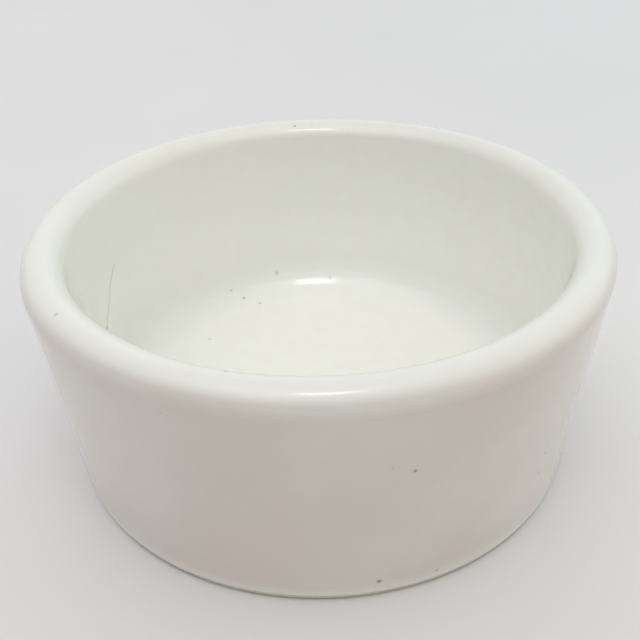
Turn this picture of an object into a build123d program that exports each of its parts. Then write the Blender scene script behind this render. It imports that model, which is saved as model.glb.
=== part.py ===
"""Flat-bottomed porcelain evaporating dish.

A plain tapered dish with a thick wall, a fully rounded rim and no pouring lip.
Two pieces make it: the fired porcelain body, turned in one go on a jigger, and
the glaze, a thin coat of glass fused over the inside, the rim and the outer
wall. The glaze is wiped off the foot, so that the dish does not stick to the
kiln shelf, and the dish stands on a ring of bare porcelain.

Millimetres, +Z up. The origin is the middle of the foot, on the table.
"""

import os
from math import asin, atan2, cos, degrees, hypot, sin, tan

from build123d import *

# The glazed dish
rim_diameter = 75.0  # widest, across the rounded rim
foot_diameter = 66.8  # where the line of the glazed outer wall meets the table
height = 33.2
wall = 5.2  # glazed wall, square to its faces
floor_thickness = 6.5  # from the table to the glazed floor
bowl_fillet = 6.0  # inside, where the wall runs into the floor

# The glaze coat
glaze_thickness = 0.25
bare_foot = 0.8  # height of the band round the foot that is wiped clean
glaze_edge = 0.18  # roll of the glaze where it stops above the bare band

# The foot
foot_edge = 0.6  # rounding of the outer edge that the dish stands on
foot_ring = 8.0  # width of the bare ring that touches the table
recess_depth = 0.6  # hollow of the underside, so that the dish never rocks
recess_slope = 1.6  # width of the bevel that leads from the ring to the hollow
recess_round = 2.0

# The rim is a full round, so its section is a half circle as wide as the wall.
rim_round = wall / 2
rim_centre = (rim_diameter / 2 - rim_round, height - rim_round)

# Lean of a wall that starts at the foot and runs tangent into the rim round.
rim_run = rim_centre[0] - foot_diameter / 2
taper = atan2(rim_run, rim_centre[1]) + asin(rim_round / hypot(rim_run, rim_centre[1]))


def wall_at(point, z):
    """Point at height z on the wall line that passes through a point."""
    return (point.X - (point.Y - z) * tan(taper), z)


def rim_line(depth):
    """Half circle over the rim, at a depth under the glazed surface."""
    return CenterArc(rim_centre, rim_round - depth, -degrees(taper), 180)


def bowl_line(rim, depth):
    """Inner wall, fillet and floor, from the rim to the axis, at the same depth."""
    floor_z = floor_thickness - depth
    return FilletPolyline(rim @ 1, wall_at(rim @ 1, floor_z), (0, floor_z), radius=bowl_fillet + depth)


# Porcelain body: the dish less its coat of glaze, with a recessed underside.
with BuildPart() as porcelain_body:
    with BuildSketch(Plane.XZ):
        with BuildLine():
            body_rim = rim_line(glaze_thickness)
            bowl_line(body_rim, glaze_thickness)
            foot_corner = wall_at(body_rim @ 0, 0)
            ring_inside = foot_corner[0] - foot_ring
            recess_corner = (ring_inside - recess_slope, recess_depth)
            FilletPolyline(
                (0, recess_depth),
                recess_corner,
                (ring_inside, 0),
                foot_corner,
                body_rim @ 0,
                radius=[recess_round, recess_round, foot_edge],
            )
            Line((0, recess_depth), (0, floor_thickness - glaze_thickness))
        make_face()
    revolve(axis=Axis.Z)

# Glaze coat: from the bare band up the outer wall, over the rim and across the bowl.
with BuildPart() as glaze_coat:
    with BuildSketch(Plane.XZ) as coat_section:
        with BuildLine():
            outside_rim = rim_line(0)
            inside_rim = rim_line(glaze_thickness)
            bowl_line(outside_rim, 0)
            bowl_line(inside_rim, glaze_thickness)
            outside_end = wall_at(outside_rim @ 0, bare_foot)
            inside_end = wall_at(inside_rim @ 0, bare_foot)
            Line(outside_rim @ 0, outside_end)
            Line(inside_rim @ 0, inside_end)
            Line(outside_end, inside_end)
            Line((0, floor_thickness), (0, floor_thickness - glaze_thickness))
        make_face()
        fillet(coat_section.vertices().group_by(Axis.Y)[0].sort_by(Axis.X)[-1], glaze_edge)
    revolve(axis=Axis.Z)

porcelain_body.part.label = "porcelain_body"
glaze_coat.part.label = "glaze_coat"

os.makedirs("parts", exist_ok=True)
export_step(porcelain_body.part, "parts/porcelain_body.step")
export_step(glaze_coat.part, "parts/glaze_coat.step")
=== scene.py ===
"""Porcelain evaporating dish.

A flat-bottomed laboratory dish: a fired porcelain body turned on a jigger, under a coat of clear
glaze that covers the bowl, the rim and the outer wall and was wiped off the foot. The file is laid
out as a Blender add-on and is run as a script. Lengths are in metres, +Z is up, and the origin is
the middle of the foot.
"""

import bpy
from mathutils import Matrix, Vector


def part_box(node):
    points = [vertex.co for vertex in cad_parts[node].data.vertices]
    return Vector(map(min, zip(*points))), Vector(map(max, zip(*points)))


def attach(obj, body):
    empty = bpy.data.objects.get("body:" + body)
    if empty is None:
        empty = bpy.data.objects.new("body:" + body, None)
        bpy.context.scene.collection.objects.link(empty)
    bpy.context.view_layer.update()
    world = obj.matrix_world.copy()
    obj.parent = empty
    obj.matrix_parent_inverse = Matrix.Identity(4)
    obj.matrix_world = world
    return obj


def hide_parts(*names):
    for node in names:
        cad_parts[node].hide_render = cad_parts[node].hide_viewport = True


bl_info = {
    "name": "Porcelain Evaporating Dish",
    "version": (1, 0, 0),
    "blender": (4, 5, 0),
    "location": "3D View > Sidebar > Dish",
    "description": "Turns a glazed flat-bottomed porcelain dish and sets it on a studio table",
    "category": "Add Mesh",
}

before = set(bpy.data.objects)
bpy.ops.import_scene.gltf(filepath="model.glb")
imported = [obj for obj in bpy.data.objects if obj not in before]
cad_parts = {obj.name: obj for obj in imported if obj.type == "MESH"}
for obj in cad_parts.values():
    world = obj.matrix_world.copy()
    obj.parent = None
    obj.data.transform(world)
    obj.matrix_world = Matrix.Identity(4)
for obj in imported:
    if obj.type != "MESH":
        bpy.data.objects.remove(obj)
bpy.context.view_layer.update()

import math

import bpy
import numpy as np
from mathutils import Matrix, Vector

BODY_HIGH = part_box("porcelain_body")[1]
COAT_LOW, COAT_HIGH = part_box("glaze_coat")

MM = 0.001
FULL_TURN = 2 * math.pi

# Rings of the meshes: how many each stretch of the section gets, and one in how many of them is kept
# on the porcelain's coated face and on the glaze's hidden face
FLOOR_RINGS, FILLET_RINGS, INNER_WALL_RINGS, RIM_RINGS = 44, 52, 42, 36
COATED_FACE_STEP = 4
HIDDEN_FACE_STEP = 6
INNERMOST_RING = 0.3 * MM

# Depth of glaze that the glaze's colour follows, where the deepest pool is 1; the outside's low
# value is partly painted shade on the outer wall
BOWL_DEPTH = 0.5
OUTSIDE_DEPTH_AND_SHADE = 0.09

# Slow waves of the melted glaze: seed, lobes round the dish, and spans along the section
SWELL_WAVES = (5, (2, 3, 4, 6, 9, 12, 16), (9 * MM, 30 * MM))

# Blemishes of the glaze: the face that carries it, angle round the dish from +X in degrees, height
# above the table (or radius, on the floor), radius of the dark spot, and strength. Most of those
# that the camera sees were measured, and the rest are made up.
IRON_SPECKS = (
    ("inside", 95.2, 32.8 * MM, 0.16 * MM, 0.55),
    ("inside", 90.7, 32.8 * MM, 0.12 * MM, 0.30),
    ("inside", 103.7, 9.5 * MM, 0.30 * MM, 0.28),
    ("inside", 120.1, 8.6 * MM, 0.18 * MM, 0.36),
    ("inside", 116.9, 7.4 * MM, 0.17 * MM, 0.75),
    ("inside", 112.3, 6.7 * MM, 0.24 * MM, 0.30),
    ("inside", 86.3, 8.4 * MM, 0.24 * MM, 0.24),
    ("inside", 173.4, 15.6 * MM, 0.30 * MM, 0.60),
    ("inside", 296.0, 18.5 * MM, 0.15 * MM, 0.60),
    ("inside", 251.0, 12.4 * MM, 0.20 * MM, 0.50),
    ("inside", 218.0, 24.2 * MM, 0.13 * MM, 0.45),
    ("inside", 253.4, 33.0 * MM, 0.17 * MM, 0.50),
    ("outside", 215.2, 33.0 * MM, 0.26 * MM, 0.34),
    ("outside", 285.4, 21.1 * MM, 0.19 * MM, 0.75),
    ("outside", 280.2, 3.0 * MM, 0.24 * MM, 0.80),
    ("outside", 292.7, 2.3 * MM, 0.16 * MM, 0.45),
    ("outside", 319.0, 13.0 * MM, 0.17 * MM, 0.50),
    ("outside", 318.5, 9.9 * MM, 0.15 * MM, 0.45),
    ("outside", 12.0, 17.5 * MM, 0.20 * MM, 0.65),
    ("outside", 47.0, 26.0 * MM, 0.16 * MM, 0.55),
    ("outside", 71.0, 6.4 * MM, 0.24 * MM, 0.70),
    ("outside", 108.0, 14.8 * MM, 0.18 * MM, 0.50),
    ("outside", 131.0, 22.3 * MM, 0.15 * MM, 0.60),
    ("outside", 158.0, 9.1 * MM, 0.21 * MM, 0.65),
    ("outside", 187.0, 19.6 * MM, 0.17 * MM, 0.50),
    ("floor", 141.2, 21.8 * MM, 0.22 * MM, 0.30),
    ("floor", 262.0, 12.5 * MM, 0.16 * MM, 0.55),
    ("floor", 20.0, 16.0 * MM, 0.14 * MM, 0.40),
)

# A hairline in the glaze of the inner wall: angle in degrees and height of each bend. The second was
# put in between the others, which were measured.
HAIRLINE = ((160.6, 21.8 * MM), (164.2, 20.2 * MM), (167.6, 18.2 * MM), (173.4, 15.6 * MM))


# ---------------------------------------------------------------------------------------------
# Sizes and colours that a user would change


class DishShape(bpy.types.PropertyGroup):
    """Sizes of the dish over its glaze."""

    rim_radius: bpy.props.FloatProperty(
        name="Rim radius", description="Widest radius, over the rounded rim",
        default=COAT_HIGH.x, unit="LENGTH", precision=5,
    )
    height: bpy.props.FloatProperty(
        name="Height", description="From the table to the top of the rim",
        default=COAT_HIGH.z, unit="LENGTH", precision=5,
    )
    foot_radius: bpy.props.FloatProperty(
        name="Foot radius", description="Where the line of the outer wall meets the table",
        default=33.4 * MM, unit="LENGTH", precision=5,
    )
    wall: bpy.props.FloatProperty(
        name="Wall", description="Wall thickness, square to its faces",
        default=5.2 * MM, unit="LENGTH", precision=5,
    )
    floor_thickness: bpy.props.FloatProperty(
        name="Floor thickness", description="From the table to the floor of the bowl",
        default=6.5 * MM, unit="LENGTH", precision=5,
    )
    bowl_fillet: bpy.props.FloatProperty(
        name="Bowl fillet", description="Radius where the inner wall runs into the floor",
        default=6.0 * MM, unit="LENGTH", precision=5,
    )
    foot_edge: bpy.props.FloatProperty(
        name="Foot edge", description="Rounding of the outer edge of the bare foot",
        default=0.6 * MM, unit="LENGTH", precision=5,
    )
    foot_ring: bpy.props.FloatProperty(
        name="Foot ring", description="Width of the bare ring that stands on the table",
        default=8.0 * MM, unit="LENGTH", precision=5,
    )
    recess_depth: bpy.props.FloatProperty(
        name="Recess depth", description="How far the middle of the underside is hollowed",
        default=0.6 * MM, unit="LENGTH", precision=5,
    )
    recess_slope: bpy.props.FloatProperty(
        name="Recess slope", description="Width of the bevel between the ring and the hollow",
        default=1.6 * MM, unit="LENGTH", precision=5,
    )
    turns: bpy.props.IntProperty(
        name="Turns", description="Number of points in one turn round the dish",
        default=360, min=24,
    )


class GlazeCoat(bpy.types.PropertyGroup):
    """Thickness and edge of the coat of glaze."""

    thickness: bpy.props.FloatProperty(
        name="Thickness", description="Depth of the glaze over the porcelain",
        default=COAT_HIGH.z - BODY_HIGH.z, unit="LENGTH", precision=5,
    )
    bare_foot: bpy.props.FloatProperty(
        name="Bare foot", description="Height of the band round the foot that is wiped clean",
        default=COAT_LOW.z, unit="LENGTH", precision=5,
    )
    edge_bead: bpy.props.FloatProperty(
        name="Edge bead", description="Height over which the glaze rounds off at its lower edge",
        default=0.32 * MM, unit="LENGTH", precision=5,
    )
    wipe_wave: bpy.props.FloatProperty(
        name="Wipe wave", description="How far the wiped edge wanders up and down",
        default=0.10 * MM, unit="LENGTH", precision=6,
    )
    swell: bpy.props.FloatProperty(
        name="Swell", description="Height of the slow waves that the melted glaze sets in",
        default=0.018 * MM, unit="LENGTH", precision=6,
    )


class HandMarks(bpy.types.PropertyGroup):
    """How far the fired dish departs from a perfect turned shape."""

    ovality: bpy.props.FloatProperty(
        name="Ovality", description="How far the rim is pulled out of round in the kiln",
        default=0.10 * MM, unit="LENGTH", precision=6,
    )
    rim_wave: bpy.props.FloatProperty(
        name="Rim wave", description="How far the rim rises and falls round the dish",
        default=0.09 * MM, unit="LENGTH", precision=6,
    )
    bowl_shift: bpy.props.FloatProperty(
        name="Bowl shift", description="How far the bowl is off the middle, towards +X",
        default=0.20 * MM, unit="LENGTH", precision=6,
    )
    turning_lines: bpy.props.FloatProperty(
        name="Turning lines", description="Height of the rings that the jigger left in the bowl",
        default=0.0022 * MM, unit="LENGTH", precision=6,
    )
    fillet_ridges: bpy.props.FloatProperty(
        name="Fillet ridges", description="Height of the close rings where the wall meets the floor",
        default=0.013 * MM, unit="LENGTH", precision=6,
    )
    trimming_grooves: bpy.props.FloatProperty(
        name="Trimming grooves", description="Depth of the spiral that trimming left underneath",
        default=0.035 * MM, unit="LENGTH", precision=6,
    )


class DishFinish(bpy.types.PropertyGroup):
    """Colours and gloss of the glaze and of the bare porcelain."""

    glaze: bpy.props.FloatVectorProperty(
        name="Glaze", description="Clear glaze over white porcelain",
        default=(0.93, 0.935, 0.89), subtype="COLOR", size=3, min=0, max=1,
    )
    # Partly the tint of glaze lying thick, and partly painted shade: a little darker in the fillet, the
    # crease where the wall meets the floor
    pooled_glaze_and_shade: bpy.props.FloatVectorProperty(
        name="Pooled glaze", description="Where the glaze ran together and lies thick",
        default=(0.905, 0.92, 0.875), subtype="COLOR", size=3, min=0, max=1,
    )
    # Partly the warmer body under the thinner outer coat, and partly painted shade: darker and pinker
    # over the outer wall, which faces a little down and gets less light
    thin_glaze_and_shade: bpy.props.FloatVectorProperty(
        name="Thin glaze", description="Where the coat is thin, as over the outer wall",
        default=(0.775, 0.705, 0.645), subtype="COLOR", size=3, min=0, max=1,
    )
    iron: bpy.props.FloatVectorProperty(
        name="Iron", description="Specks of iron that burnt out under the glaze",
        default=(0.22, 0.19, 0.15), subtype="COLOR", size=3, min=0, max=1,
    )
    bisque: bpy.props.FloatVectorProperty(
        name="Bare porcelain", description="Fired clay with no glaze on it",
        default=(0.76, 0.72, 0.65), subtype="COLOR", size=3, min=0, max=1,
    )
    bisque_worn: bpy.props.FloatVectorProperty(
        name="Worn porcelain", description="Bare clay greyed by benches and wire gauze",
        default=(0.46, 0.43, 0.38), subtype="COLOR", size=3, min=0, max=1,
    )
    scorch: bpy.props.FloatVectorProperty(
        name="Scorch", description="Brown bloom that a burner leaves on the underside",
        default=(0.50, 0.39, 0.27), subtype="COLOR", size=3, min=0, max=1,
    )
    gloss: bpy.props.FloatProperty(
        name="Glaze roughness", description="Roughness of the clean glaze",
        default=0.13, subtype="FACTOR", min=0, max=1,
    )
    dulled: bpy.props.FloatProperty(
        name="Dulled roughness", description="Roughness where use and dust have dulled the glaze",
        default=0.18, subtype="FACTOR", min=0, max=1,
    )


class Studio(bpy.types.PropertyGroup):
    """Table, lights and camera."""

    table: bpy.props.FloatVectorProperty(
        name="Table", description="Colour of the plain table",
        default=(0.85, 0.84, 0.855), subtype="COLOR", size=3, min=0, max=1,
    )
    room: bpy.props.FloatVectorProperty(
        name="Room", description="Even light from all round",
        default=(0.01, 0.01, 0.01), subtype="COLOR", size=3, min=0,
    )
    backdrop: bpy.props.FloatVectorProperty(
        name="Backdrop", description="Plain colour that the camera sees past the edge of the table",
        default=(0.60, 0.595, 0.59), subtype="COLOR", size=3, min=0, max=1,
    )
    ceiling: bpy.props.FloatVectorProperty(
        name="Ceiling", description="Broad pool of light overhead, towards the camera's side",
        default=(1.92, 1.89, 1.86), subtype="COLOR", size=3, min=0,
    )
    far_left: bpy.props.FloatVectorProperty(
        name="Far left", description="Low pool of light behind the dish, on the left",
        default=(0.87, 0.87, 0.86), subtype="COLOR", size=3, min=0,
    )
    far_right: bpy.props.FloatVectorProperty(
        name="Far right", description="Low pool of light behind the dish, on the right",
        default=(0.70, 0.80, 0.85), subtype="COLOR", size=3, min=0,
    )
    right: bpy.props.FloatVectorProperty(
        name="Right", description="Low pool of light on the right of the view",
        default=(0.65, 0.60, 0.47), subtype="COLOR", size=3, min=0,
    )
    key_colour: bpy.props.FloatVectorProperty(
        name="Key colour", description="Colour of the lamp over the table",
        default=(1.0, 0.985, 0.95), subtype="COLOR", size=3, min=0, max=1,
    )
    key_power: bpy.props.FloatProperty(
        name="Key power", description="Power of the lamp over the table",
        default=0.42, unit="POWER", min=0,
    )
    key_height: bpy.props.FloatProperty(
        name="Key height", description="Distance of the lamp from the dish",
        default=0.9, unit="LENGTH", min=0,
    )
    key_elevation: bpy.props.FloatProperty(
        name="Key elevation", description="Angle of the lamp above the camera's side of the table",
        default=math.radians(69), subtype="ANGLE",
    )
    key_width: bpy.props.FloatProperty(
        name="Key width", description="Size of the lamp across the view",
        default=0.22, unit="LENGTH", min=0,
    )
    key_length: bpy.props.FloatProperty(
        name="Key length", description="Size of the lamp along the view",
        default=0.14, unit="LENGTH", min=0,
    )
    camera_distance: bpy.props.FloatProperty(
        name="Camera distance", description="From the camera to the point that it looks at",
        default=138.75 * MM, unit="LENGTH", min=0, precision=5,
    )
    camera_elevation: bpy.props.FloatProperty(
        name="Camera elevation", description="Angle of the view above the table",
        default=math.radians(32.53), subtype="ANGLE",
    )
    camera_roll: bpy.props.FloatProperty(
        name="Camera roll", description="How far the camera is turned about its line of sight",
        default=math.radians(-1.656), subtype="ANGLE",
    )
    aim_height: bpy.props.FloatProperty(
        name="Aim height", description="Height of the point that the camera looks at",
        default=18.09 * MM, unit="LENGTH", min=0, precision=5,
    )
    lens: bpy.props.FloatProperty(
        name="Lens", description="Focal length in millimetres on a 36 mm sensor",
        default=57.37, min=1,
    )


# ---------------------------------------------------------------------------------------------
# Sections: arrays of radius, height and outward normal along the outline of the dish


def straight(start, end, normal, count, last=True):
    """A straight run from one (radius, height) to another, evenly divided, with one normal."""
    share = np.linspace(0, 1, count, endpoint=last)[:, None]
    points = np.array(start) + share * (np.array(end) - np.array(start))
    return np.hstack([points, np.tile(normal, (count, 1))])


def arc(centre, radius, start, end, count, hollow=False, last=True):
    """Centre plus radius times (cosine, sine) of an angle that goes from start to end.

    The normal points away from the centre, or towards it on a hollow arc.
    """
    angle = np.linspace(start, end, count, endpoint=last)
    away = np.stack([np.cos(angle), np.sin(angle)], axis=1)
    return np.hstack([np.array(centre) + radius * away, -away if hollow else away])


def wall_geometry(shape):
    """Taper of the wall and the points that its section hangs on.

    The outer wall starts at the foot and runs tangent into the half circle of the rim, so its lean
    is the angle to the circle's centre plus the angle that the circle's radius covers from there.
    """
    rim_round = shape.wall / 2
    rim = np.array([shape.rim_radius - rim_round, shape.height - rim_round])
    run = rim[0] - shape.foot_radius
    lean = math.atan2(run, rim[1]) + math.asin(rim_round / math.hypot(run, rim[1]))
    across = np.array([math.cos(lean), -math.sin(lean)])  # out through the outer wall
    inner_top = rim - rim_round * across
    outer_top = rim + rim_round * across
    fillet = shape.bowl_fillet
    # The fillet leaves the inner wall where its centre is one radius above the floor.
    inner_low_height = shape.floor_thickness + fillet * (1 - math.sin(lean))
    inner_low = inner_top - np.array([math.tan(lean), 1]) * (inner_top[1] - inner_low_height)
    return {
        "rim_round": rim_round, "rim": rim, "lean": lean, "across": across, "inner_top": inner_top,
        "inner_low": inner_low, "outer_top": outer_top, "fillet_centre": inner_low - fillet * across,
    }


def bowl_section(shape, g):
    """Section of the glazed surface from the middle of the bowl to the top of the outer wall.

    Floor, fillet, inner wall and rim follow each other with a shared tangent.
    """
    floor_end = (g["fillet_centre"][0], shape.floor_thickness)
    return np.concatenate([
        straight((INNERMOST_RING, shape.floor_thickness), floor_end, (0, 1), FLOOR_RINGS, last=False),
        arc(g["fillet_centre"], shape.bowl_fillet, -math.pi / 2, -g["lean"], FILLET_RINGS,
            hollow=True, last=False),
        straight(g["inner_low"], g["inner_top"], -g["across"], INNER_WALL_RINGS, last=False),
        arc(g["rim"], g["rim_round"], math.pi - g["lean"], -g["lean"], RIM_RINGS),
    ])


def angles(shape):
    """Angle of each point of a ring, from +X."""
    return np.arange(shape.turns) * (FULL_TURN / shape.turns)


def waves(theta, along, seed, lobes, spans, height):
    """Sum of a few cosines whose phase grows with the angle and with the place along a section.

    Each has a whole number of lobes round the dish, so that it closes on itself, and its height
    falls as its lobes grow in number. The spans and phases come from a seeded generator.
    """
    draw = np.random.default_rng(seed)
    total = np.zeros(np.broadcast(theta, along).shape)
    for count in lobes:
        span = draw.uniform(*spans)
        phase = draw.uniform(0, FULL_TURN)
        total = total + np.cos(count * theta + along * (FULL_TURN / span) + phase) / math.sqrt(count)
    return height * total / len(lobes)


def fired(points, theta, shape, marks):
    """Turned (radius, height) points as the kiln left them, as x, y, z.

    The rim is pulled into a slight oval and rises and falls a little. Both grow with the square or
    more of the height, so the foot stays round and flat.
    """
    radius, height = points
    share = np.clip(height / shape.height, 0, 1)
    pull = marks.ovality * share**2 * (np.cos(2 * theta - 0.9) + 0.35 * np.cos(3 * theta + 0.6))
    rise = marks.rim_wave * share**4 * (
        0.6 * np.cos(2 * theta + 0.4) + 0.4 * np.cos(3 * theta - 1.1) + 0.25 * np.cos(5 * theta + 2.0)
    )
    radius = radius + pull * np.clip(radius / shape.foot_radius, 0, 1)
    return np.stack([radius * np.cos(theta), radius * np.sin(theta), height + rise], axis=-1)


def shifted(points, weight, marks):
    """Moves points towards +X by the bowl's shift times a weight for each ring."""
    points[..., 0] += marks.bowl_shift * weight
    return points


def smooth_step(share):
    """3 share squared less 2 share cubed: from 0 to 1 with no slope at the ends."""
    return share * share * (3 - 2 * share)


def bowl_weight(g, section):
    """1 inside the bowl, falling smoothly to 0 over the crest of the rim."""
    beyond = (section[:, 0:1] - (g["rim"][0] - g["rim_round"])) / (2 * g["rim_round"])
    return smooth_step(np.clip(1 - beyond, 0, 1))


def sunk(section, depth):
    """Radius and height of a section's points moved in along their normals."""
    return section[:, 0:1] - depth * section[:, 2:3], section[:, 1:2] - depth * section[:, 3:4]


def bell(offset, spread):
    """A bell: e to the power of minus the square of the offset over the spread."""
    return np.exp(-((offset / spread) ** 2))


def wiped_edge(coat, theta):
    """Height of the glaze's lower edge round the dish: a level line with a few slow waves."""
    return coat.bare_foot + waves(theta, 0.0, 11, (2, 3, 5, 8, 13, 21), (1, 1), coat.wipe_wave * 2.2)


def along_section(section):
    """Length of the section up to each of its points."""
    steps = np.hypot(*np.diff(section[:, :2], axis=0).T)
    return np.concatenate([[0], np.cumsum(steps)])


# ---------------------------------------------------------------------------------------------
# Meshes


def turned_mesh(name, rings, values=None):
    """Closed mesh from rings of points, (rings, turns, 3), that start and end on the axis.

    Neighbouring rings are joined by four-sided faces, and the first and last ring by a fan to the
    middle of the ring. values, one for each ring point, become a named float attribute.
    """
    count, turns = rings.shape[:2]
    ends = np.stack([rings[0].mean(axis=0), rings[-1].mean(axis=0)])
    points = np.concatenate([rings.reshape(-1, 3), ends])
    step = np.arange(turns)
    after = (step + 1) % turns
    row = (np.arange(count - 1) * turns)[:, None]
    quads = np.stack([row + step, row + turns + step, row + turns + after, row + after], axis=-1)
    first, last = count * turns, count * turns + 1
    top_fan = np.stack([np.full(turns, first), step, after], axis=-1)
    low = (count - 1) * turns
    low_fan = np.stack([np.full(turns, last), low + after, low + step], axis=-1)
    corners = np.concatenate([quads.ravel(), top_fan.ravel(), low_fan.ravel()])
    sizes = np.concatenate([np.full(len(quads) * turns, 4), np.full(2 * turns, 3)])

    mesh = bpy.data.meshes.new(name)
    mesh.vertices.add(len(points))
    mesh.vertices.foreach_set("co", points.astype(np.float32).ravel())
    mesh.loops.add(len(corners))
    mesh.loops.foreach_set("vertex_index", corners.astype(np.int32))
    mesh.polygons.add(len(sizes))
    starts = np.concatenate([[0], np.cumsum(sizes)[:-1]])
    mesh.polygons.foreach_set("loop_start", starts.astype(np.int32))
    mesh.update(calc_edges=True)
    mesh.validate()
    mesh.polygons.foreach_set("use_smooth", np.ones(len(mesh.polygons), bool))
    for key, grid in (values or {}).items():
        layer = mesh.attributes.new(key, "FLOAT", "POINT")
        flat = np.concatenate([grid.ravel(), [grid[0].mean(), grid[-1].mean()]])
        layer.data.foreach_set("value", flat.astype(np.float32))
    piece = bpy.data.objects.new(name, mesh)
    bpy.context.scene.collection.objects.link(piece)
    return piece


def glaze_rings(shape, coat, marks):
    """Rings of the coat's shell: its outer face, its rounded edge, and back along the porcelain.

    A point is the section's point moved along its normal. On the outer face that is by the waves of
    the glaze and by the turning lines that show through it, and on the inner face by the coat's
    thickness. Near the wiped edge the coat thins as a quarter of an ellipse.
    """
    g = wall_geometry(shape)
    theta = angles(shape)[None, :]
    section = bowl_section(shape, g)
    weight = bowl_weight(g, section)
    length = along_section(section)[:, None]
    radius, height, normal_r, normal_z = (section[:, k][:, None] for k in range(4))
    calm = np.clip(radius / (9 * MM), 0, 1)  # no waves at the very middle, where all angles meet

    swell = waves(theta, length, *SWELL_WAVES, coat.swell * 3)
    rings = waves(0.0, length, 3, (1, 1, 1), (1.9 * MM, 4.6 * MM), marks.turning_lines * 3)
    wobble = 1 + 0.5 * np.cos(theta - 0.7)
    out = (swell + rings * wobble * weight + fillet_ridges(shape, marks, g, section, theta)) * calm
    face = (radius + out * normal_r, height + out * normal_z)
    upper = shifted(fired(face, theta, shape, marks), weight, marks)

    # Outer wall, from the rim to the wiped edge
    edge = wiped_edge(coat, theta)
    top = g["outer_top"]
    wall_height = top[1] - wall_drop() * (top[1] - edge)
    wall_radius = top[0] - (top[1] - wall_height) * math.tan(g["lean"])
    rise = np.clip((wall_height - edge) / coat.edge_bead, 0, 1)
    depth = coat.thickness * (1 - np.sqrt(1 - (1 - rise) ** 2))
    down = length[-1] + (top[1] - wall_height)
    swell = waves(theta, down, *SWELL_WAVES, coat.swell * 3)
    bead_height = 1.2 * MM
    gathered = coat.swell * 1.6 * bell(wall_height - edge - bead_height, bead_height)
    out = (swell + gathered) * rise - depth
    face = (wall_radius + out * g["across"][0], wall_height + out * g["across"][1])
    lower = fired(face, theta, shape, marks)

    # Hidden face, against the porcelain, from the wiped edge back to the middle of the bowl
    back = section[::-HIDDEN_FACE_STEP]
    inner = fired(sunk(back, coat.thickness), theta, shape, marks)
    hidden = shifted(inner, bowl_weight(g, back), marks)

    # Colour shares: besides real pooling and thinning they hold painted shade, darker in the fillet, on
    # the rim's crest, just under the rim and over the outer wall
    pooled = glaze_depth(shape, g, section, theta)
    thinned_and_shaded = 0.07 * bell(wall_height - top[1], 1.6 * MM)  # drawn back under the rim, and painted shade: darker just under the rim
    gathered = 0.3 * bell(wall_height - edge, 1.5 * MM)  # run together at the wiped edge
    wall_depth_and_shade = OUTSIDE_DEPTH_AND_SHADE + gathered - thinned_and_shaded
    rest = np.full((len(back), shape.turns), BOWL_DEPTH)
    return np.concatenate([upper, lower, hidden]), np.concatenate([pooled, wall_depth_and_shade, rest])


def wall_drop():
    """Share of the way down the outer wall of each of its rings.

    They are even down most of the wall, and close up towards the wiped edge as a cosine.
    """
    even = np.linspace(0, 1, 50)[1:-1] * 0.965
    closing = 1 - 0.028 * np.cos(np.linspace(0, 1, 14) * math.pi / 2)
    return np.unique(np.concatenate([even, closing, [1.0]]))[:, None]


def fillet_ridges(shape, marks, g, section, theta):
    """Close rings in the fillet: a cosine of the length along it, fading to both sides.

    They are strongest a little below its middle and a little uneven round the dish.
    """
    turn = np.arctan2(-section[:, 2:3], section[:, 3:4])  # 0 on the floor, near a right angle up the wall
    along = turn * shape.bowl_fillet
    strongest = 0.42 * math.pi / 2 * shape.bowl_fillet
    spread, pitch = 2.1 * MM, 1.45 * MM
    fade = bell(along - strongest, spread) * (section[:, 0:1] < g["inner_low"][0])
    uneven = 0.75 + 0.25 * np.cos(2 * theta + 3.0)
    ring = np.cos(along * (FULL_TURN / pitch) + 0.25 * np.cos(theta))
    return marks.fillet_ridges * fade * uneven * ring


def glaze_depth(shape, g, section, theta):
    """How deep the glaze lies, with painted shade in it: 1 in the fillet, the bowl's depth round it, a
    little less on the rim's crest, and less past it.

    The outside took a thinner coat, whose edge on the rim wanders a little round the dish. The dip on
    the crest is painted shade on the rim's top, and the rise in the fillet and the low value outside
    are partly the glaze's own depth and partly painted shade.
    """
    radius, height = section[:, 0:1], section[:, 1:2]
    across = radius - g["fillet_centre"][0] - 0.7 * shape.bowl_fillet
    above = height - shape.floor_thickness - 0.3 * shape.bowl_fillet
    # The pool sits in the fillet: partly thick glaze, partly painted shade in the crease
    pool = bell(np.hypot(across, above), 3.2 * MM)
    past = np.clip((radius - g["rim"][0]) / g["rim_round"], 0, 1) ** 4
    # Painted shade on the rim's top: the colour there leans a little towards the darker thin glaze
    crest = 0.05 * bell(height - shape.height, 1.3 * MM) * (1 - past)
    wander = 1 + 0.15 * np.cos(3 * theta + 1)
    deep = BOWL_DEPTH + (1 - BOWL_DEPTH) * pool
    return deep - crest - (BOWL_DEPTH - OUTSIDE_DEPTH_AND_SHADE) * past * wander


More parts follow.
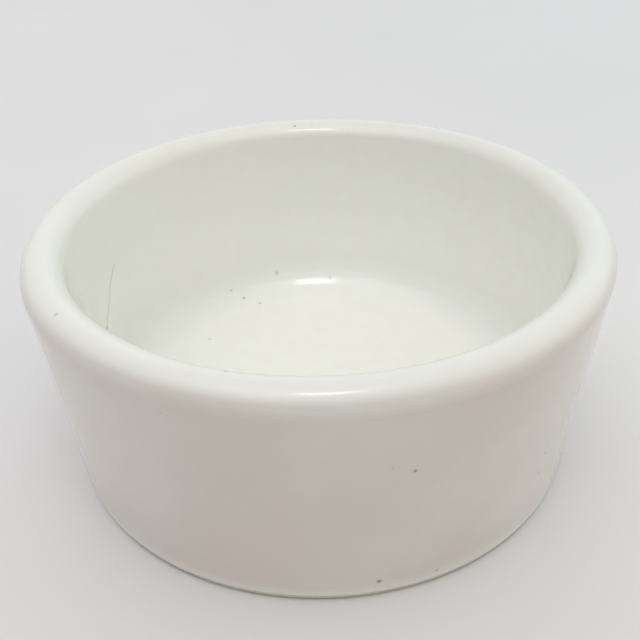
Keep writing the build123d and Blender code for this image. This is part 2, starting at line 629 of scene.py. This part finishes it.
def body_rings(shape, coat, marks):
    """Rings of the porcelain body: under the glaze, down to the bare foot, and the underside.

    Under the glaze it is the section moved in by the coat's thickness. The foot's edge is a quarter
    round, the ring under it is flat, and the hollow is reached by a smooth step. Trimming left a
    shallow spiral and a low pip in the hollow.
    """
    g = wall_geometry(shape)
    theta = angles(shape)[None, :]
    section = bowl_section(shape, g)[::COATED_FACE_STEP]
    covered = fired(sunk(section, coat.thickness), theta, shape, marks)
    upper = shifted(covered, bowl_weight(g, section), marks)

    lean, across = g["lean"], g["across"]
    corner = shape.foot_radius - coat.thickness / math.cos(lean)  # bare wall's line at the table
    up_wall = np.array([math.sin(lean), math.cos(lean)])
    edge_start = np.array([corner, 0]) + up_wall * shape.foot_edge * (1 - math.sin(lean)) / math.cos(lean)
    edge_centre = edge_start - shape.foot_edge * across
    ring_inside = corner - shape.foot_ring
    hollow = ring_inside - shape.recess_slope
    wall_top = g["outer_top"] - coat.thickness * across
    foot = np.concatenate([
        straight(wall_top, edge_start, across, 26)[1:-1],
        arc(edge_centre, shape.foot_edge, -lean, -math.pi / 2, 12),
        straight((edge_centre[0], 0), (INNERMOST_RING, 0), (0, -1), 104)[1:],
    ])
    radius, height = foot[:, 0:1], foot[:, 1:2]
    blend_width = 0.5 * MM  # how far the smooth step reaches past each side of the slope
    inward = ring_inside + blend_width - radius
    step = smooth_step(np.clip(inward / (shape.recess_slope + 2 * blend_width), 0, 1))
    pitch = 2.3 * MM
    spiral = 0.5 + 0.5 * np.cos(radius * (FULL_TURN / pitch) + theta)
    fade = np.clip(radius / (4 * MM), 0, 1) * np.clip((hollow - radius) / (1 * MM), 0, 1)
    pip = 0.16 * MM * bell(radius, 1.7 * MM)
    underside = foot[:, 3:4] < -0.999  # rings that face straight down
    lift = underside * (shape.recess_depth * step + marks.trimming_grooves * spiral * fade * step - pip)
    lower = fired((radius, height + lift), theta, shape, marks)

    # Rubbing is strongest near the middle of the bare ring and falls off as the fourth power
    off_ring = (radius - (corner - 0.45 * shape.foot_ring)) / (0.38 * shape.foot_ring)
    rubbed = np.zeros((len(section) + len(foot), shape.turns))
    rubbed[len(section):] = underside * np.exp(-(off_ring**4))
    return np.concatenate([upper, lower]), rubbed


# ---------------------------------------------------------------------------------------------
# Materials


def add(tree, kind, sockets=None, **settings):
    """Adds a node. sockets maps an input's name or number to a value or to another node's output."""
    node = tree.nodes.new(kind)
    for key, value in settings.items():
        setattr(node, key, value)
    for key, value in (sockets or {}).items():
        if isinstance(value, bpy.types.NodeSocket):
            tree.links.new(value, node.inputs[key])
        else:
            node.inputs[key].default_value = value
    return node


def math_node(tree, operation, a, b=0.0, clamp=False):
    """Output of a Math node on one or two values."""
    return add(tree, "ShaderNodeMath", {0: a, 1: b}, operation=operation, use_clamp=clamp).outputs[0]


def vector_node(tree, operation, a, b=(0, 0, 0)):
    """Vector Math node on one or two vectors."""
    return add(tree, "ShaderNodeVectorMath", {0: a, 1: b}, operation=operation)


def noise(tree, place, scale, detail=3.0, roughness=0.5):
    """Smooth noise from 0 to 1. The scale is in waves for each metre."""
    sockets = {"Vector": place, "Scale": scale, "Detail": detail, "Roughness": roughness}
    return add(tree, "ShaderNodeTexNoise", sockets).outputs[0]


def remap(tree, value, low, high, to_low=0.0, to_high=1.0):
    """Carries low..high smoothly to to_low..to_high, and holds the ends outside it."""
    sockets = {"Value": value, 1: low, 2: high, 3: to_low, 4: to_high}
    return add(tree, "ShaderNodeMapRange", sockets, interpolation_type="SMOOTHSTEP").outputs[0]


def blend(tree, share, a, b):
    """Colour a where share is 0 and colour b where it is 1."""
    sockets = {0: share, 6: a, 7: b}
    return add(tree, "ShaderNodeMix", sockets, data_type="RGBA").outputs[2]


def scaled(tree, vector, share):
    """Output of a vector times a number."""
    return add(tree, "ShaderNodeVectorMath", {0: vector, "Scale": share}, operation="SCALE").outputs[0]


def colour(value):
    """Red, green and blue with an opaque alpha."""
    return (*value, 1.0)


def new_material(name):
    """Empty node material and its tree."""
    material = bpy.data.materials.new(name)
    material.use_nodes = True
    tree = material.node_tree
    tree.nodes.clear()
    return material, tree


def shade(tree, sockets):
    """Principled surface with these sockets, as the material's output."""
    surface = add(tree, "ShaderNodeBsdfPrincipled", sockets)
    add(tree, "ShaderNodeOutputMaterial", {"Surface": surface.outputs[0]})


def on_dish(shape, g, side, angle, height):
    """Point on the glazed surface at an angle and a height, or at a radius on the floor."""
    turn = math.radians(angle)
    if side == "floor":
        radius, height = height, shape.floor_thickness
    else:
        section = bowl_section(shape, g)
        crest = int(np.argmax(section[:, 1]))
        if side == "inside":
            inner = section[:crest + 1]
            radius = float(np.interp(height, inner[:, 1], inner[:, 0]))
        elif height > g["outer_top"][1]:
            outer = section[crest:][::-1]
            radius = float(np.interp(height, outer[:, 1], outer[:, 0]))
        else:
            radius = g["outer_top"][0] - (g["outer_top"][1] - height) * math.tan(g["lean"])
    return (radius * math.cos(turn), radius * math.sin(turn), height)


def iron_specks(tree, place, shape):
    """Share of iron at a point: a soft spot round each speck, the strongest one counting."""
    g = wall_geometry(shape)
    ragged = add(tree, "ShaderNodeTexNoise", {"Vector": place, "Scale": 4200.0, "Detail": 1.0})
    centred = vector_node(tree, "SUBTRACT", ragged.outputs[1], (0.5, 0.5, 0.5))
    nudge = scaled(tree, centred.outputs[0], 0.22 * MM)
    place = vector_node(tree, "ADD", place, nudge).outputs[0]
    total = None
    for side, angle, height, radius, strength in IRON_SPECKS:
        centre = on_dish(shape, g, side, angle, height)
        away = vector_node(tree, "DISTANCE", place, centre).outputs["Value"]
        spot = remap(tree, away, radius * 0.3, radius * 1.9, strength, 0.0)
        total = spot if total is None else math_node(tree, "MAXIMUM", total, spot)
    return total


def hairline(tree, place, shape):
    """Share of the hairline at a point: distance to each straight stretch between two bends.

    The nearest point of a stretch is its start plus the stretch times the clamped share of the way
    that the point projects to.
    """
    g = wall_geometry(shape)
    bends = [Vector(on_dish(shape, g, "inside", *bend)) for bend in HAIRLINE]
    total = None
    for start, end in zip(bends, bends[1:]):
        run = end - start
        offset = vector_node(tree, "SUBTRACT", place, tuple(start)).outputs[0]
        reach = vector_node(tree, "DOT_PRODUCT", offset, tuple(run / run.length_squared)).outputs["Value"]
        share = math_node(tree, "MULTIPLY", reach, 1.0, clamp=True)
        nearest = scaled(tree, tuple(run), share)
        away = vector_node(tree, "DISTANCE", offset, nearest).outputs["Value"]
        line = remap(tree, away, 0.06 * MM, 0.34 * MM, 0.42, 0.0)
        total = line if total is None else math_node(tree, "MAXIMUM", total, line)
    return total


def glaze_material(finish, shape):
    """Glossy cream-white glaze: pooled and thin places that also hold painted shade, soft clouds, iron
    specks and a hairline.
    """
    material, tree = new_material("clear glaze over porcelain")
    place = add(tree, "ShaderNodeTexCoord").outputs["Object"]
    depth = add(tree, "ShaderNodeAttribute", attribute_name="glaze_depth").outputs["Fac"]

    # The pooled and thin shares carry painted shade besides the glaze's own colour: darker in the fillet,
    # on the rim's crest and over the outer wall
    pooled = remap(tree, depth, BOWL_DEPTH, 1.0)
    thin = remap(tree, depth, BOWL_DEPTH, 0.0)
    base = blend(tree, pooled, colour(finish.glaze), colour(finish.pooled_glaze_and_shade))
    base = blend(tree, thin, base, colour(finish.thin_glaze_and_shade))
    clouds = remap(tree, noise(tree, place, 55.0, 4.0), 0.35, 0.7, 0.0, 0.28)
    base = blend(tree, clouds, base, colour(finish.pooled_glaze_and_shade))
    mottle = remap(tree, noise(tree, place, 420.0, 3.0), 0.3, 0.75, 0.0, 0.07)
    base = blend(tree, mottle, base, colour(finish.thin_glaze_and_shade))

    # A scatter of pale pepper that is only seen close to: a grain in about one cell of thirty
    cells = add(tree, "ShaderNodeTexVoronoi", {"Vector": place, "Scale": 420.0}, feature="F1")
    grain = remap(tree, cells.outputs["Distance"], 0.03, 0.075, 1.0, 0.0)
    chosen = add(tree, "ShaderNodeSeparateColor", {"Color": cells.outputs["Color"]}).outputs[0]
    rare = math_node(tree, "GREATER_THAN", chosen, 0.965)
    pepper = math_node(tree, "MULTIPLY", math_node(tree, "MULTIPLY", grain, rare), 0.28)

    specks = iron_specks(tree, place, shape)
    crack = hairline(tree, place, shape)
    dark = math_node(tree, "MAXIMUM", math_node(tree, "MAXIMUM", specks, pepper), crack)
    base = blend(tree, dark, base, colour(finish.iron))

    # Use and dust dull the glaze in patches, and fine level streaks of wiping cross it
    patches = remap(tree, noise(tree, place, 90.0, 5.0, 0.6), 0.45, 0.8)
    drawn_out = add(tree, "ShaderNodeMapping", {"Vector": place, "Scale": (1, 1, 6)}).outputs[0]
    swirls = noise(tree, drawn_out, 700.0, 2.0)
    dulled = math_node(tree, "MULTIPLY", patches, remap(tree, swirls, 0.3, 0.7, 0.5, 1.0))
    rough = remap(tree, dulled, 0.0, 1.0, finish.gloss, finish.dulled)

    # Orange peel of the melted glaze, and a dimple at each speck
    peel = noise(tree, place, 620.0, 2.0)
    height = math_node(tree, "SUBTRACT", math_node(tree, "MULTIPLY", peel, 0.12), specks)
    bump = add(tree, "ShaderNodeBump", {"Strength": 0.35, "Distance": 0.02 * MM, "Height": height})
    shade(tree, {
        "Base Color": base, "Roughness": rough, "Normal": bump.outputs[0], "IOR": 1.52,
        "Specular IOR Level": 0.5, "Coat Weight": 0.35, "Coat Roughness": 0.12,
    })
    return material


def bisque_material(finish):
    """Matt bare porcelain: fine grain, grey rubbing on the foot ring and a burner's scorch."""
    material, tree = new_material("bare porcelain")
    place = add(tree, "ShaderNodeTexCoord").outputs["Object"]
    rubbed = add(tree, "ShaderNodeAttribute", attribute_name="rubbed").outputs["Fac"]

    grain = noise(tree, place, 2600.0, 3.0)
    greyed = remap(tree, grain, 0.3, 0.75, 0.0, 0.35)
    base = blend(tree, greyed, colour(finish.bisque), colour(finish.bisque_worn))

    # The scorch fades with the distance from the dish's axis, raggedly, and keeps to the underside
    x, y, z = add(tree, "ShaderNodeSeparateXYZ", {"Vector": place}).outputs
    level = add(tree, "ShaderNodeCombineXYZ", {"X": x, "Y": y, "Z": 0.0}).outputs[0]
    around = vector_node(tree, "LENGTH", level).outputs["Value"]
    ragged = math_node(tree, "MULTIPLY", noise(tree, place, 95.0, 4.0), 16 * MM)
    reach = math_node(tree, "ADD", around, ragged)
    below = remap(tree, z, 1.2 * MM, 0.2 * MM)
    bloom = math_node(tree, "MULTIPLY", remap(tree, reach, 12 * MM, 27 * MM, 0.55, 0.0), below)
    base = blend(tree, bloom, base, colour(finish.scorch))

    # Grey rubbing on the ring, in smears
    smear = remap(tree, noise(tree, place, 210.0, 5.0, 0.65), 0.42, 0.7, 0.15, 0.8)
    base = blend(tree, math_node(tree, "MULTIPLY", rubbed, smear), base, colour(finish.bisque_worn))

    rough = remap(tree, rubbed, 0.0, 1.0, 0.72, 0.48)
    unevenness = math_node(tree, "MULTIPLY", noise(tree, place, 700.0, 2.0), 0.8)
    height = math_node(tree, "ADD", grain, unevenness)
    bump = add(tree, "ShaderNodeBump", {"Strength": 0.5, "Distance": 0.03 * MM, "Height": height})
    shade(tree, {
        "Base Color": base, "Roughness": rough, "Normal": bump.outputs[0], "Specular IOR Level": 0.35,
    })
    return material


def table_material(studio):
    """Plain pale table with a faint sheen and the least unevenness of tone."""
    material, tree = new_material("plain pale table")
    place = add(tree, "ShaderNodeTexCoord").outputs["Object"]
    pale = colour(studio.table)
    darker = colour([channel * 0.95 for channel in studio.table])
    base = blend(tree, remap(tree, noise(tree, place, 8.0, 4.0), 0.3, 0.7), pale, darker)
    rough = remap(tree, noise(tree, place, 60.0, 3.0), 0.3, 0.7, 0.30, 0.38)
    shade(tree, {"Base Color": base, "Roughness": rough, "Specular IOR Level": 0.5})
    return material


# ---------------------------------------------------------------------------------------------
# Operators


def finish_piece(piece, material, node):
    """Gives a piece its material and ties it to the frame in the place of a CAD node."""
    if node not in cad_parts:
        raise RuntimeError(f"the frame has no node named {node}")
    piece.data.materials.append(material)
    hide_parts(node)
    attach(piece, "root")


class DISH_OT_fire_body(bpy.types.Operator):
    """Turn and fire the porcelain body, with its bare foot and hollowed underside"""

    bl_idname = "dish.fire_body"
    bl_label = "Fire the Porcelain Body"

    def execute(self, context):
        scene = context.scene
        points, rubbed = body_rings(scene.dish_shape, scene.dish_coat, scene.dish_marks)
        piece = turned_mesh("fired_body", points, {"rubbed": rubbed})
        finish_piece(piece, bisque_material(scene.dish_finish), "porcelain_body")
        return {"FINISHED"}


class DISH_OT_pour_glaze(bpy.types.Operator):
    """Coat the bowl, the rim and the outer wall in glaze, down to the wiped edge"""

    bl_idname = "dish.pour_glaze"
    bl_label = "Pour the Glaze"

    def execute(self, context):
        scene = context.scene
        points, depth = glaze_rings(scene.dish_shape, scene.dish_coat, scene.dish_marks)
        piece = turned_mesh("poured_glaze", points, {"glaze_depth": depth})
        material = glaze_material(scene.dish_finish, scene.dish_shape)
        finish_piece(piece, material, "glaze_coat")
        return {"FINISHED"}


# Direction of each pool of light in the room, and how tightly it is gathered
ROOM_POOLS = {
    "ceiling": ((-0.08, -0.36, 0.93), 5.0),
    "far_left": ((-0.64, 0.70, 0.32), 3.0),
    "far_right": ((0.64, 0.70, 0.32), 3.0),
    "right": ((0.97, -0.10, 0.22), 4.0),
}


class DISH_OT_set_stage(bpy.types.Operator):
    """Lay a plain table, hang one lamp, light the room and set up the camera"""

    bl_idname = "dish.set_stage"
    bl_label = "Set the Stage"

    def execute(self, context):
        studio = context.scene.dish_studio
        self.lay_table(context.scene, studio)
        self.hang_lamp(context.scene, studio)
        self.light_room(context.scene, studio)
        self.set_camera(context.scene, studio)
        return {"FINISHED"}

    def lay_table(self, scene, studio):
        """A square plane just under the foot, wide enough to fill the camera's view."""
        half, under = 2.5, -0.02 * MM
        mesh = bpy.data.meshes.new("table")
        corners = [(-half, -half, under), (half, -half, under), (half, half, under), (-half, half, under)]
        mesh.from_pydata(corners, [], [(0, 1, 2, 3)])
        table = bpy.data.objects.new("table", mesh)
        scene.collection.objects.link(table)
        mesh.materials.append(table_material(studio))

    def hang_lamp(self, scene, studio):
        """One broad lamp high on the camera's side and a touch to the right, facing the dish."""
        light = bpy.data.lights.new("lamp over the table", "AREA")
        light.shape = "RECTANGLE"
        light.size = studio.key_width
        light.size_y = studio.key_length
        light.energy = studio.key_power
        light.color = studio.key_colour
        lamp = bpy.data.objects.new("lamp over the table", light)
        rise = studio.key_elevation
        sideways = 0.03
        away = Vector((sideways, -math.cos(rise), math.sin(rise))).normalized()
        lamp.matrix_world = facing(away * studio.key_height, Vector((0, 0, studio.aim_height)), 0.0)
        scene.collection.objects.link(lamp)

    def light_room(self, scene, studio):
        """Faint even light, with broad pools overhead, on the right, and behind on both sides.

        A pool is its colour times a power of the cosine between the ray and its direction. Past the
        table the camera sees a plain backdrop in their place.
        """
        world = bpy.data.worlds.new("soft room")
        world.use_nodes = True
        tree = world.node_tree
        tree.nodes.clear()
        towards = add(tree, "ShaderNodeTexCoord").outputs["Generated"]
        total = add(tree, "ShaderNodeCombineColor", dict(zip(range(3), studio.room))).outputs[0]
        for name, (axis, gathering) in ROOM_POOLS.items():
            facing_it = vector_node(tree, "DOT_PRODUCT", towards, axis).outputs["Value"]
            cosine = math_node(tree, "MAXIMUM", facing_it, 0.0)
            share = math_node(tree, "POWER", cosine, gathering)
            pool = scaled(tree, tuple(getattr(studio, name)), share)
            total = vector_node(tree, "ADD", total, pool).outputs[0]
        seen = add(tree, "ShaderNodeLightPath").outputs["Is Camera Ray"]
        plain = blend(tree, seen, total, colour(studio.backdrop))
        background = add(tree, "ShaderNodeBackground", {"Color": plain})
        add(tree, "ShaderNodeOutputWorld", {"Surface": background.outputs[0]})
        scene.world = world
        scene.view_settings.view_transform = "Standard"

    def set_camera(self, scene, studio):
        """Camera on the -Y side, looking down at the middle of the dish."""
        lens = bpy.data.cameras.new("camera")
        lens.lens = studio.lens
        lens.sensor_width = 36.0
        lens.clip_start = 0.005
        camera = bpy.data.objects.new("camera", lens)
        rise = studio.camera_elevation
        aim = Vector((0, 0, studio.aim_height))
        away = Vector((0, -math.cos(rise), math.sin(rise)))
        camera.matrix_world = facing(aim + away * studio.camera_distance, aim, studio.camera_roll)
        scene.collection.objects.link(camera)
        scene.camera = camera


def facing(place, aim, roll):
    """Matrix of a lamp or camera at a place that looks at aim along its -Z, turned by roll about it.

    Its X is level, and its Y is square to both.
    """
    back = (place - aim).normalized()
    side = Vector((0, 1, 0)) if abs(back.z) > 0.9999 else Vector((0, 0, 1))
    right = side.cross(back).normalized()
    up = back.cross(right)
    turn = Matrix((right, up, back)).transposed() @ Matrix.Rotation(roll, 3, "Z")
    return Matrix.Translation(place) @ turn.to_4x4()


class DISH_PT_panel(bpy.types.Panel):
    """The dish's operators and sizes, in the sidebar of the 3D view"""

    bl_idname = "DISH_PT_panel"
    bl_label = "Evaporating Dish"
    bl_space_type = "VIEW_3D"
    bl_region_type = "UI"
    bl_category = "Dish"

    def draw(self, context):
        layout = self.layout
        for operator in (DISH_OT_set_stage, DISH_OT_fire_body, DISH_OT_pour_glaze):
            layout.operator(operator.bl_idname)
        for name, group in GROUPS.items():
            box = layout.box()
            box.label(text=group.__doc__)
            for key in group.__annotations__:
                box.prop(getattr(context.scene, name), key)


GROUPS = {
    "dish_shape": DishShape,
    "dish_coat": GlazeCoat,
    "dish_marks": HandMarks,
    "dish_finish": DishFinish,
    "dish_studio": Studio,
}
CLASSES = (*GROUPS.values(), DISH_OT_fire_body, DISH_OT_pour_glaze, DISH_OT_set_stage, DISH_PT_panel)


def register():
    """Adds the classes, and one group of settings of each kind to the scene."""
    for item in CLASSES:
        bpy.utils.register_class(item)
    for name, group in GROUPS.items():
        setattr(bpy.types.Scene, name, bpy.props.PointerProperty(type=group))


def unregister():
    """Takes the settings and the classes away again."""
    for name in GROUPS:
        delattr(bpy.types.Scene, name)
    for item in reversed(CLASSES):
        bpy.utils.unregister_class(item)


def main():
    """Registers the add-on, then makes the stage and the dish."""
    register()
    bpy.ops.dish.set_stage()
    bpy.ops.dish.fire_body()
    bpy.ops.dish.pour_glaze()


if __name__ == "__main__":
    main()
